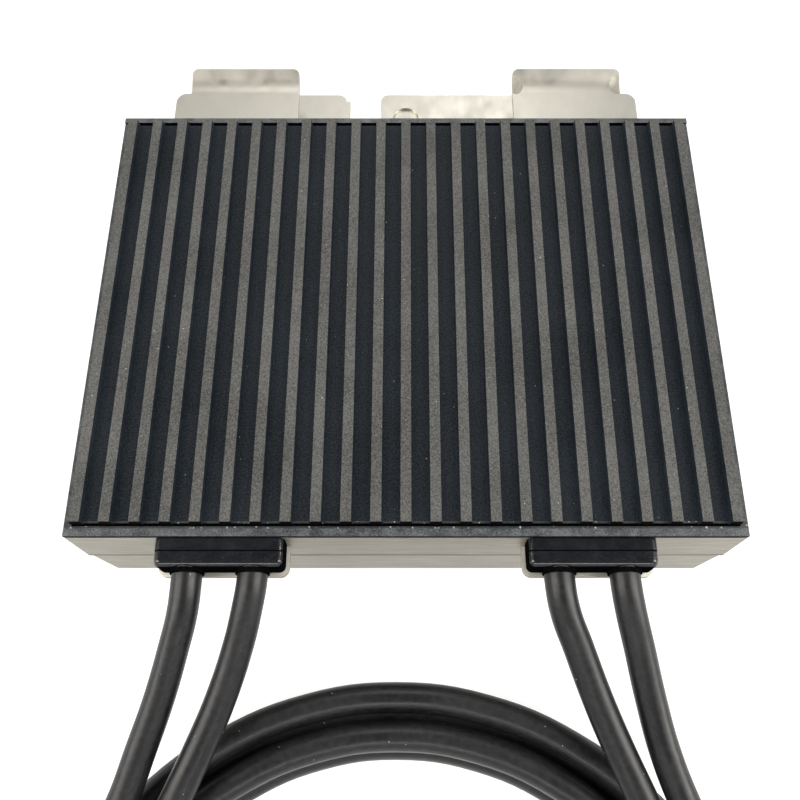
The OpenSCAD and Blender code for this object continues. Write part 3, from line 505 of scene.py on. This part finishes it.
def new_piece(name, bm, *materials):
    """Turns a bmesh into an object at the origin, smooth except at its sharp edges."""
    mesh = bpy.data.meshes.new(name)
    bm.to_mesh(mesh)
    bm.free()
    mesh.shade_smooth()
    mesh.set_sharp_from_angle(angle=math.radians(SHARP_ANGLE))
    for material in materials:
        mesh.materials.append(material)
    piece = bpy.data.objects.new(name, mesh)
    bpy.context.scene.collection.objects.link(piece)
    shading = piece.modifiers.new("even_shading", "WEIGHTED_NORMAL")
    shading.keep_sharp = True
    return piece


def stands_for(piece, *node_names):
    """Puts a piece in the place of CAD nodes: it joins the root body, and the nodes are hidden."""
    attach(piece, "root")
    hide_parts(*node_names)
    return piece


def block(bm, low, high):
    """Adds a box between two corners in millimetres and returns its edges."""
    size = [(b - a) * MM for a, b in zip(low, high)]
    middle = [(a + b) / 2 * MM for a, b in zip(low, high)]
    place = Matrix.Translation(middle) @ Matrix.Diagonal((*size, 1))
    corners = bmesh.ops.create_cube(bm, size=1, matrix=place)["verts"]
    return list(dict.fromkeys(edge for corner in corners for edge in corner.link_edges))


def round_off(bm, edges, radius, segments):
    """Rounds edges to a radius in millimetres."""
    bmesh.ops.bevel(bm, geom=edges, offset=radius * MM, offset_type="OFFSET", segments=segments, profile=0.5,
                    affect="EDGES", clamp_overlap=True, material=-1)


def cut_at(bm, y):
    """Adds edges to a bmesh where a plane across the part at this Y meets it."""
    bmesh.ops.bisect_plane(bm, geom=bm.verts[:] + bm.edges[:] + bm.faces[:], plane_no=(0, 1, 0),
                           plane_co=(0, y * MM, 0))


def softened(node, width, *materials, segments=2):
    """A copy of a CAD node with its sharp edges rounded, which stands for the node."""
    bm = bmesh.new()
    bm.from_mesh(nodes[node].data)
    bmesh.ops.remove_doubles(bm, verts=bm.verts, dist=WELD * MM)
    bmesh.ops.dissolve_limit(bm, angle_limit=math.radians(FLAT_ANGLE), verts=bm.verts, edges=bm.edges)
    sharp = [e for e in bm.edges if len(e.link_faces) == 2
             and e.calc_face_angle() > math.radians(SHARP_ANGLE)]
    round_off(bm, sharp, width, segments)
    return stands_for(new_piece(node + "_soft", bm, *materials), node)


def finish_node(node, material):
    """Gives a CAD node whose shape stays as it is a material."""
    nodes[node].data.materials.clear()
    nodes[node].data.materials.append(material)


# Cables: the routes are the solids' own, in millimetres

CABLE_D = 5.9
COLLAR_Y = box_mm("gland_left")[0][1]
CABLE_Z = 27.4
CABLE_XS = (-41.45, -29.05, 29.05, 41.45)
CABLE_INSIDE, CABLE_STRAIGHT = 2, 0.5
COIL_X, COIL_Y = -2, -145
SIDE_LAY_R, LAY_1, LAY_2, LAY_3 = 75.15, 3.875, 9.8, 15.75
COIL_STEP = 15

INPUT_1 = [(-42, -62, 26), (-43.5, -68, 23.8), (-46, -77, 21), (-49, -86, 18.8), (-52, -95, 17),
           (-58, -108, 16), (-64, -122, 16), (-68.5, -135, 16), (-70.5, -147, 16), (-71.5, -160, 16),
           (-72.2, -172, 15), (-72.8, -185, 12), (-73, -198, 9.8), (-73, -211, 9), (-73, -236, 9),
           (-73, -246, 9)]
INPUT_2 = [(-30, -62, 26), (-31.5, -68, 23.8), (-34.5, -77, 21), (-38.3, -86, 18.8), (-42.5, -95, 17),
           (-48.5, -108, 16), (-55, -122, 16), (-60, -135, 16), (-62, -147, 16), (-61.5, -160, 16),
           (-59.5, -173, 16), (-57, -186, 16), (-54, -199, 15.5), (-51.5, -211, 12.5), (-50, -224, 9.6),
           (-50, -236, 9), (-50, -246, 9)]
OUTPUT_1 = [(30, -62, 26), (32.3, -68, 23.8), (35.7, -77, 21), (39.5, -86, 18.8), (43.6, -95, 17),
            (49, -108, 16), (55, -122, 16), (59, -135, 15.8), (60, -141, 15.75)]
OUTPUT_2 = [(42.3, -62, 26), (43.7, -68, 23.8), (45.6, -77, 21), (47.8, -86, 18.8), (51, -95, 17),
            (56.5, -108, 16), (62.2, -122, 16), (65.8, -135, 15.8), (66.5, -141, 15.75)]
TAIL_1 = [(27.5, -217, 5.5), (22.4, -226, 8), (20.5, -236, 9), (20.5, -246, 9)]
TAIL_2 = [(65, -183, 4.2), (62.8, -196, 5.5), (60.5, -209, 7.4), (59.5, -222, 8.8), (59.5, -236, 9),
          (59.5, -246, 9)]

# Lanes in the coil: angle, radius and height, joined smoothly on the way round

LANES_1 = [(0, 62, LAY_3), (-60, 62, LAY_3), (-125, 62, LAY_2), (-270, 61.8, LAY_2), (-420, 62, LAY_2),
           (-485, 60.5, LAY_1), (-630, 60.5, LAY_1), (-725, 61, LAY_1), (-765, SIDE_LAY_R, LAY_1),
           (-780, SIDE_LAY_R, LAY_1)]
LANES_2 = [(0, 68.5, LAY_3), (-60, 68.5, LAY_3), (-125, 69, LAY_2), (-270, 69, LAY_2), (-420, 69, LAY_2),
           (-485, 66.8, LAY_1), (-630, 66.6, LAY_1), (-680, 67, LAY_1), (-725, SIDE_LAY_R, LAY_1),
           (-740, SIDE_LAY_R, LAY_1)]


def coil_point(angle, radius, z):
    """A point of the coil, from an angle in degrees."""
    turn = math.radians(angle)
    return COIL_X + radius * math.cos(turn), COIL_Y + radius * math.sin(turn), z


def coil_points(lanes):
    """The turns of one lead in the coil, which ease from each of its lanes to the next."""
    points = []
    for (a0, r0, z0), (a1, r1, z1) in zip(lanes, lanes[1:]):
        steps = max(1, round((a0 - a1) / COIL_STEP))
        for i in range(steps):
            t = i / steps
            ease = t * t * (3 - 2 * t)
            points.append(coil_point(a0 + (a1 - a0) * t, r0 + (r1 - r0) * ease, z0 + (z1 - z0) * ease))
    points.append(coil_point(*lanes[-1]))
    return points


def cable(name, x, route, material):
    """A cable as a smooth curve through its route, from just inside its collar."""
    start = [(x, COLLAR_Y + CABLE_INSIDE, CABLE_Z), (x, COLLAR_Y - CABLE_STRAIGHT, CABLE_Z)]
    points = [Vector(p) * MM for p in start + route]
    data = bpy.data.curves.new(name, "CURVE")
    data.dimensions = "3D"
    data.bevel_depth = CABLE_D / 2 * MM
    data.bevel_resolution = 5
    data.resolution_u = 6
    data.use_fill_caps = True
    spline = data.splines.new("BEZIER")
    spline.bezier_points.add(len(points) - 1)
    for knot, point in zip(spline.bezier_points, points):
        knot.co = point
        knot.handle_left_type = knot.handle_right_type = "AUTO"
    data.materials.append(material)
    piece = bpy.data.objects.new(name, data)
    bpy.context.scene.collection.objects.link(piece)
    length = sum((b - a).length for a, b in zip(points, points[1:]))
    return piece, length


def make_cables(ends):
    """The four leads, each standing for its CAD nodes; the pieces on its far end are listed but not joined to
    it.
    """
    jacket = extruded_cable_jacket()
    plans = (
        ("input_lead_1", CABLE_XS[0], INPUT_1, ("input_cable_1",), "loose", ends["input_1"]),
        ("input_lead_2", CABLE_XS[1], INPUT_2, ("input_cable_2",), "loose", ends["input_2"]),
        ("output_lead_1", CABLE_XS[2], OUTPUT_1 + coil_points(LANES_1) + TAIL_1,
         ("output_cable_1", "output_tail_1"), "coiled", ends["output_1"]),
        ("output_lead_2", CABLE_XS[3], OUTPUT_2 + coil_points(LANES_2) + TAIL_2,
         ("output_cable_2", "output_tail_2", "cable_coil"), "coiled", ends["output_2"]),
    )
    for name, x, route, cad_nodes, lay, pieces in plans:
        piece, length = cable(name, x, route, jacket)
        stands_for(piece, *cad_nodes)


# Connectors: rounded edges in millimetres

NUT_EDGE = 0.25
SHELL_EDGE = 0.3
TIE_EDGE = 0.3


def make_connectors():
    """The connectors on the leads' far ends and the coil's tie; returns the pieces on each lead."""
    plastic = moulded_black_polyamide()
    ends = {}
    for lead, (nut, shell, contact) in {
            "input_1": ("input_nut_1", "input_socket", "input_pin"),
            "input_2": ("input_nut_2", "input_plug", "input_sleeve"),
            "output_1": ("output_nut_1", "output_socket", "output_pin"),
            "output_2": ("output_nut_2", "output_plug", "output_sleeve")}.items():
        ends[lead] = [softened(nut, NUT_EDGE, plastic), softened(shell, SHELL_EDGE, plastic), nodes[contact]]
    ends["output_2"].append(softened("coil_tie", TIE_EDGE, woven_nylon_strap()))
    return ends


# Heat sink: its sizes, in millimetres, and how far a face's normal has to point up or to the front

FRONT_Y = box_mm("heat_sink_cover")[0][1]
COVER_TOP = box_mm("heat_sink_cover")[1][2]
FIN_H = 2
FIN_EDGE = 0.15
RIM_DROP = 2.7
GAP_DEPTH = 1
LEDGE = 1.9
CHANNEL = 0.4
GLINT_STRIP_W = 0.4
FLAT_UP, FIN_EDGE_UP, GLINT_STRIP_UP, FIN_END_FRONT = 0.95, 0.4, 0.3, 0.9
FIN_TOP, GROOVE, LEDGE_GLINT, UNLIT, EDGE_GLINT = range(1, 6)


def make_heat_sink():
    """The finned cover: pale rubbed fin tops whose edges carry painted glints, grooves darkened as painted
    shade, a speckled rim, painted black shade in the channel, the slot and on the fins' front ends, and
    painted highlights along the channel."""
    piece = softened("heat_sink_cover", FIN_EDGE, black_powder_coat(), rubbed_powder_coat(),
                     shaded_powder_coat(), ledge_glint_powder_coat(), unlit_powder_coat(), edge_glint_powder_coat())
    ledge_glint_from = FRONT_Y + LEDGE - GLINT_STRIP_W
    channel_glint_to = FRONT_Y + LEDGE + CHANNEL + GLINT_STRIP_W
    bm = bmesh.new()
    bm.from_mesh(piece.data)
    cut_at(bm, ledge_glint_from)
    cut_at(bm, channel_glint_to)
    bm.to_mesh(piece.data)
    bm.free()
    for face in piece.data.polygons:
        y, z = face.center.y / MM, face.center.z / MM
        facing_front, facing_up = -face.normal.y, face.normal.z
        behind_ledge = y > FRONT_Y + LEDGE - FIN_EDGE
        fin_end = facing_front > FIN_END_FRONT and behind_ledge
        in_gap = COVER_TOP - RIM_DROP - GAP_DEPTH < z < COVER_TOP - RIM_DROP - FIN_EDGE
        # Fin tops, and on the fin edges painted shade with painted glints
        if z > COVER_TOP - 2 * FIN_EDGE and facing_up > FIN_EDGE_UP:
            face.material_index = FIN_TOP if facing_up > FLAT_UP else EDGE_GLINT
        # Painted shade: black on the fins' front ends, in the channel and in the slot
        elif fin_end or in_gap:
            face.material_index = UNLIT
        # Painted highlights: a paler strip on the ledge's rear edge, and pale spots as glints on the groove
        # floors' front edge
        elif ledge_glint_from < y < channel_glint_to and facing_up > GLINT_STRIP_UP:
            face.material_index = EDGE_GLINT if behind_ledge else LEDGE_GLINT
        # Painted shade: the fins' sides and the groove floors take the darkened coat
        elif z > COVER_TOP - FIN_H - FIN_EDGE:
            face.material_index = GROOVE


# Case: rounded edges in millimetres, and how far up the normal of a tongue's top points

FRAME_EDGE = 0.25
TRAY_EDGE = 0.3
TONGUE_UP = 0.5
TONGUE_TOP = 1


def make_case():
    """The frame and the tray below it; the tongues' upper faces under the glands take a paler aluminium,
    painted light.
    """
    aluminium = brushed_aluminium()
    piece = softened("housing_frame", FRAME_EDGE, aluminium, pale_tongue_aluminium())
    # Painted light: the tongues' upper faces take the paler aluminium
    for face in piece.data.polygons:
        if face.normal.z > TONGUE_UP and face.center.y < FRONT_Y * MM:
            face.material_index = TONGUE_TOP
    softened("base_tray", TRAY_EDGE, aluminium)


# Glands: sizes in millimetres, and how little an upright face's normal points up or down

WALL = 2.2
GLAND_REACH = 5.4
GLAND_CORNER_R = 1.2
GLAND_EDGE_R = 1.15
GLAND_STEP_Y = 2.3
GLAND_STEP_H = 0.25
COLLAR_T = 0.3
COLLAR_FACETS = 48
NECK_MARGIN = 1.1
FLANGE_T = 2
GASKET_T = 0.4
TICK_SIZE = (2.6, 0.35, 0.12)
TICK_Y = -50.75
UPRIGHT = 0.2
GLOSS, MATTE = range(2)


def rise(edge):
    """How much higher one end of an edge is than the other, in millimetres."""
    return abs(edge.verts[0].co.z - edge.verts[1].co.z) / MM


def stands_out(edge):
    """Whether an edge lies in front of the case's wall."""
    return (edge.verts[0].co.y + edge.verts[1].co.y) / 2 < (FRONT_Y - HAIR) * MM


def make_gland_block(low, high):
    """The block in front of the wall, with round edges and a low step across its top."""
    bm = bmesh.new()
    edges = block(bm, (low[0], FRONT_Y - GLAND_REACH, low[2]), (high[0], FRONT_Y, high[2]))
    round_off(bm, [e for e in edges if rise(e) > HAIR and stands_out(e)], GLAND_CORNER_R, segments=6)
    round_off(bm, [e for e in bm.edges if rise(e) < HAIR and stands_out(e)], GLAND_EDGE_R, segments=4)
    cut_at(bm, FRONT_Y - GLAND_STEP_Y)
    cut_at(bm, FRONT_Y - GLAND_STEP_Y - GLAND_STEP_H)
    middle_z = (low[2] + high[2]) / 2 * MM
    for corner in bm.verts:
        if corner.co.y < (FRONT_Y - GLAND_STEP_Y - GLAND_STEP_H / 2) * MM and corner.co.z > middle_z:
            corner.co.z -= GLAND_STEP_H * MM
    return bm


def add_collar(bm, x):
    """Adds the collar round a cable, with a rounded mouth."""
    radius = (CABLE_D / 2 + COLLAR_T) * MM
    length = FRONT_Y - GLAND_REACH - COLLAR_Y
    place = Matrix.Translation(Vector((x, COLLAR_Y + length / 2, CABLE_Z)) * MM)
    corners = bmesh.ops.create_cone(bm, cap_ends=True, segments=COLLAR_FACETS, radius1=radius, radius2=radius,
                                    depth=length * MM,
                                    matrix=place @ Matrix.Rotation(math.pi / 2, 4, "X"))["verts"]
    edges = dict.fromkeys(edge for corner in corners for edge in corner.link_edges)
    mouth = [e for e in edges if all(end.co.y < (COLLAR_Y + HAIR) * MM for end in e.verts)]
    round_off(bm, mouth, COLLAR_T / 2, segments=2)


def make_gland(node, cable_xs, gloss, matte):
    """A moulded cable gland: a block, a neck in the wall, a flange inside, and a tick and a collar for each
    cable. Top and round edges shine; upright faces, the step on top and the collars are a matte black,
    painted shade."""
    low, high = box_mm(node)
    bm = make_gland_block(low, high)
    neck = (cable_xs[0] - CABLE_D / 2 - NECK_MARGIN, cable_xs[1] + CABLE_D / 2 + NECK_MARGIN)
    wall_back = FRONT_Y + WALL
    block(bm, (neck[0], FRONT_Y, low[2]), (neck[1], wall_back, high[2] - GASKET_T))
    block(bm, (low[0], wall_back, low[2]), (high[0], wall_back + FLANGE_T, high[2] - GASKET_T))
    tick_l, tick_w, tick_h = TICK_SIZE
    for x in cable_xs:
        block(bm, (x - tick_l / 2, TICK_Y - tick_w / 2, high[2] - tick_h),
              (x + tick_l / 2, TICK_Y + tick_w / 2, high[2] + tick_h))
        add_collar(bm, x)
    bm.normal_update()
    # Painted shade: upright faces, the step on top and the collars take the black without shine
    for face in bm.faces:
        y = face.calc_center_median().y / MM
        collar = y < FRONT_Y - GLAND_REACH
        step = 0 < FRONT_Y - GLAND_STEP_Y - y < GLAND_STEP_H
        face.material_index = MATTE if collar or step or abs(face.normal.z) < UPRIGHT else GLOSS
    stands_for(new_piece(node + "_moulding", bm, gloss, matte), node)


def make_glands():
    """Both glands, each for two cables."""
    gloss = glossy_black_nylon()
    matte = shade_black_nylon()
    make_gland("gland_left", CABLE_XS[:2], gloss, matte)
    make_gland("gland_right", CABLE_XS[2:], gloss, matte)


# Clips: sizes in millimetres, and how far up the normal of a dent's face points

CLIP_EDGE = 0.2
DENT_XS = (26.65, 51.05)
DENT_Y = 64.15
DENT_R = 2.4
DENT_UP = 0.6
LIP_Z = 24
DENT_SHADE = 1


def make_clips():
    """The folded clips; the dents in the right one's lip take a rougher, greyer steel whose grey is painted
    shade.
    """
    steel = rolled_stainless_sheet()
    softened("clip_left", CLIP_EDGE, steel)
    piece = softened("clip_right", CLIP_EDGE, steel, dent_shade_stainless_sheet())
    # Painted shade: the dents' faces take the greyer steel
    for face in piece.data.polygons:
        x, y, z = (c / MM for c in face.center)
        in_dent = any(math.hypot(x - dent_x, y - DENT_Y) < DENT_R for dent_x in DENT_XS)
        if in_dent and z > LIP_Z and face.normal.z > DENT_UP:
            face.material_index = DENT_SHADE


# Fasteners, seals and the converter inside the case: rounded edges in millimetres

SCREW_EDGE = 0.2
RIVET_EDGE = 0.35


def make_inside():
    """What shows only when the case or a connector is opened, and the screws and rivets of the case."""
    zinc = zinc_plated_steel()
    for material, names in (
            (tinned_brass(), ("lead_terminals", "input_pin", "output_pin", "input_sleeve", "output_sleeve")),
            (enamelled_copper_wire(), ("inductor_winding",)),
            (zinc, ("board_screws",)),
            (moulded_epoxy(), ("switch_transistors", "controller_chip")),
            (sintered_ferrite(), ("inductor_core", "comms_transformer")),
            (shrunk_capacitor_sleeve(), ("input_capacitors", "output_capacitors")),
            (green_solder_mask(), ("circuit_board",)),
            (silicone_thermal_pad(), ("thermal_pad",)),
            (black_seal_rubber(), ("cover_gasket", "tray_gasket", "connector_seals")),
            (inner_cable_jacket(), ("lead_ends",))):
        for name in names:
            finish_node(name, material)
    softened("case_screws", SCREW_EDGE, zinc)
    softened("clip_rivets", RIVET_EDGE, zinc, segments=3)


def main():
    make_camera()
    make_studio()
    make_cables(make_connectors())
    make_heat_sink()
    make_case()
    make_glands()
    make_clips()
    make_inside()


main()

bpy.context.view_layer.update()
